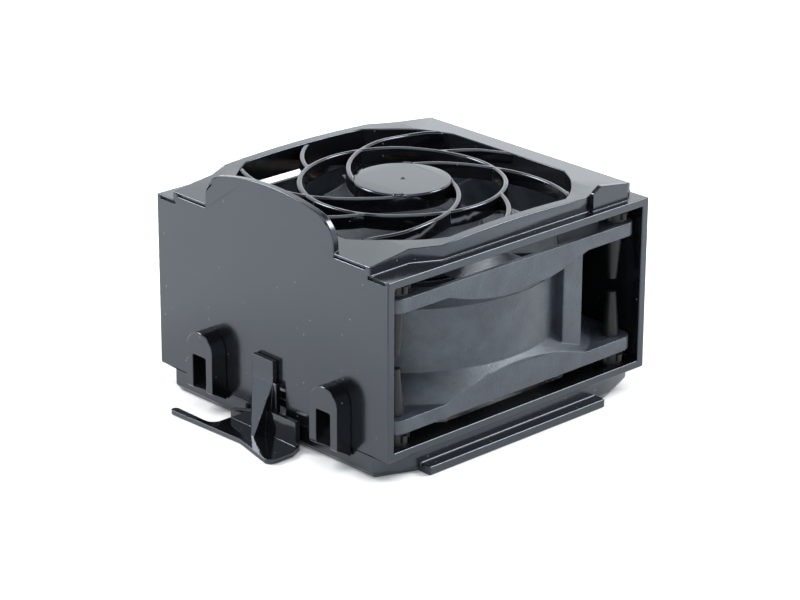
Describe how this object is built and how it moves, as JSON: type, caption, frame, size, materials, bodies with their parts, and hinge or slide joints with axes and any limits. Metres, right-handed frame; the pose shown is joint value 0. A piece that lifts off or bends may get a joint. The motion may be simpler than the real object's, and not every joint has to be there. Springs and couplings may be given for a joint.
{
  "type": "server fan module",
  "caption": "Axial server fan on rubber mounts in an open-sided moulded housing with a spiral finger guard, guide rails, cable hooks and a sprung latch.",
  "frame": {"origin": "on the fan's spin axis, in the plane that the skirt and the guide rails rest on", "axes": "+Z along the spin axis towards the exhaust and its finger guard; the guide rails run along Y and the front wall with the hump, hooks and latch faces -Y"},
  "size_m": [0.099, 0.1122, 0.0712],
  "materials": {
    "brass": "turned brass",
    "housing_plastic": "glossy black moulded ABS",
    "board": "green solder mask",
    "copper": "enamelled copper wire",
    "connector_plastic": "black nylon",
    "terminal_metal": "gold-flashed brass",
    "chip": "moulded black epoxy",
    "fan_plastic": "satin dark grey glass-filled plastic",
    "wire_black": "PVC insulation",
    "wire_blue": "PVC insulation",
    "wire_red": "PVC insulation",
    "wire_yellow": "PVC insulation",
    "bearing_steel": "ground bearing steel",
    "mount_rubber": "matt black rubber",
    "magnet": "bonded ferrite",
    "motor_steel": "pressed electrical steel"
  },
  "bodies": {
    "module": {"bearing_tube": "brass", "cable_hook_left": "housing_plastic", "cable_hook_right": "housing_plastic", "circuit_board": "board", "coil_windings": "copper", "connector_body": "connector_plastic", "connector_terminals": "terminal_metal", "driver_chip": "chip", "fan_frame": "fan_plastic", "filter_capacitor": "chip", "finger_guard": "housing_plastic", "hall_sensor": "chip", "housing": "housing_plastic", "lead_wire_black": "wire_black", "lead_wire_blue": "wire_blue", "lead_wire_red": "wire_red", "lead_wire_yellow": "wire_yellow", "lower_bearing_lower_shield": "bearing_steel", "lower_bearing_outer_race": "bearing_steel", "lower_bearing_upper_shield": "bearing_steel", "lower_mount_back_left": "mount_rubber", "lower_mount_back_right": "mount_rubber", "lower_mount_front_left": "mount_rubber", "lower_mount_front_right": "mount_rubber", "stator_core": "motor_steel", "supply_diode": "chip", "upper_bearing_lower_shield": "bearing_steel", "upper_bearing_outer_race": "bearing_steel", "upper_bearing_upper_shield": "bearing_steel", "upper_mount_back_left": "mount_rubber", "upper_mount_back_right": "mount_rubber", "upper_mount_front_left": "mount_rubber", "upper_mount_front_right": "mount_rubber"},
    "rotor": {"impeller": "fan_plastic", "rotor_yoke": "motor_steel", "rotor_magnet": "magnet", "shaft": "bearing_steel", "shim_washer": "bearing_steel", "retaining_clip": "bearing_steel", "lower_bearing_inner_race": "bearing_steel", "upper_bearing_inner_race": "bearing_steel"},
    "latch": {"latch_lever": "housing_plastic"}
  },
  "joints": [
    {"name": "impeller_spin", "type": "hinge", "parent": "module", "child": "rotor", "pos_m": [0, 0, 0.03], "axis": [0, 0, 1], "continuous": true},
    {"name": "latch_flex", "type": "hinge", "parent": "module", "child": "latch", "pos_m": [-0.0009, -0.05005, 0.0163], "axis": [1, 0, 0], "range_deg": [-2, 4], "stiffness_Nm_per_rad": 1.4}
  ]
}
